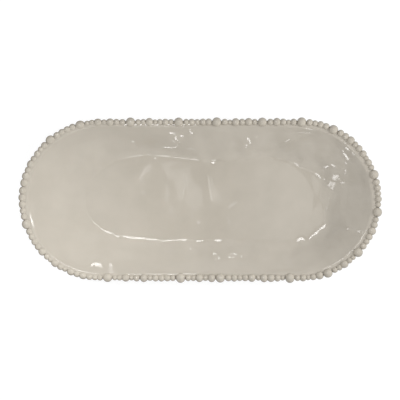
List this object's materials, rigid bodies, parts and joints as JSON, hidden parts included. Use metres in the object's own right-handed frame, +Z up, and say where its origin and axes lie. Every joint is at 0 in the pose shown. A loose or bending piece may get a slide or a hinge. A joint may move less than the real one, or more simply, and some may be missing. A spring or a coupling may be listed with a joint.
{
  "type": "oval serving plate",
  "caption": "Long oval serving plate with a flat floor, flared wall and a rim of uneven beads, in glossy stone-grey glaze, on an oval foot ring.",
  "frame": {"origin": "on the table under the middle of the plate", "axes": "+X along the plate's length, +Y across it, +Z up; the first pearl lies beside the middle of the +Y side, towards +X"},
  "size_m": [0.3627, 0.1644, 0.036],
  "materials": {
    "glaze": "glossy warm stone-grey glaze",
    "bare_clay": "bare fired clay, wiped clean of glaze"
  },
  "bodies": {
    "root": {"dish": "glaze", "foot_ring": "bare_clay", "pearl_01": "glaze", "pearl_02": "glaze", "pearl_03": "glaze", "pearl_04": "glaze", "pearl_05": "glaze", "pearl_06": "glaze", "pearl_07": "glaze", "pearl_08": "glaze", "pearl_09": "glaze", "pearl_10": "glaze", "pearl_11": "glaze", "pearl_12": "glaze", "pearl_13": "glaze", "pearl_14": "glaze", "pearl_15": "glaze", "pearl_16": "glaze", "pearl_17": "glaze", "bead_strip_01": "glaze", "bead_strip_02": "glaze", "bead_strip_03": "glaze", "bead_strip_04": "glaze", "bead_strip_05": "glaze", "bead_strip_06": "glaze", "bead_strip_07": "glaze", "bead_strip_08": "glaze", "bead_strip_09": "glaze", "bead_strip_10": "glaze", "bead_strip_11": "glaze", "bead_strip_12": "glaze", "bead_strip_13": "glaze", "bead_strip_14": "glaze", "bead_strip_15": "glaze", "bead_strip_16": "glaze", "bead_strip_17": "glaze", "bead_strip_18": "glaze", "bead_strip_19": "glaze", "bead_strip_20": "glaze", "bead_strip_21": "glaze", "bead_strip_22": "glaze", "bead_strip_23": "glaze", "bead_strip_24": "glaze"}
  },
  "joints": []
}
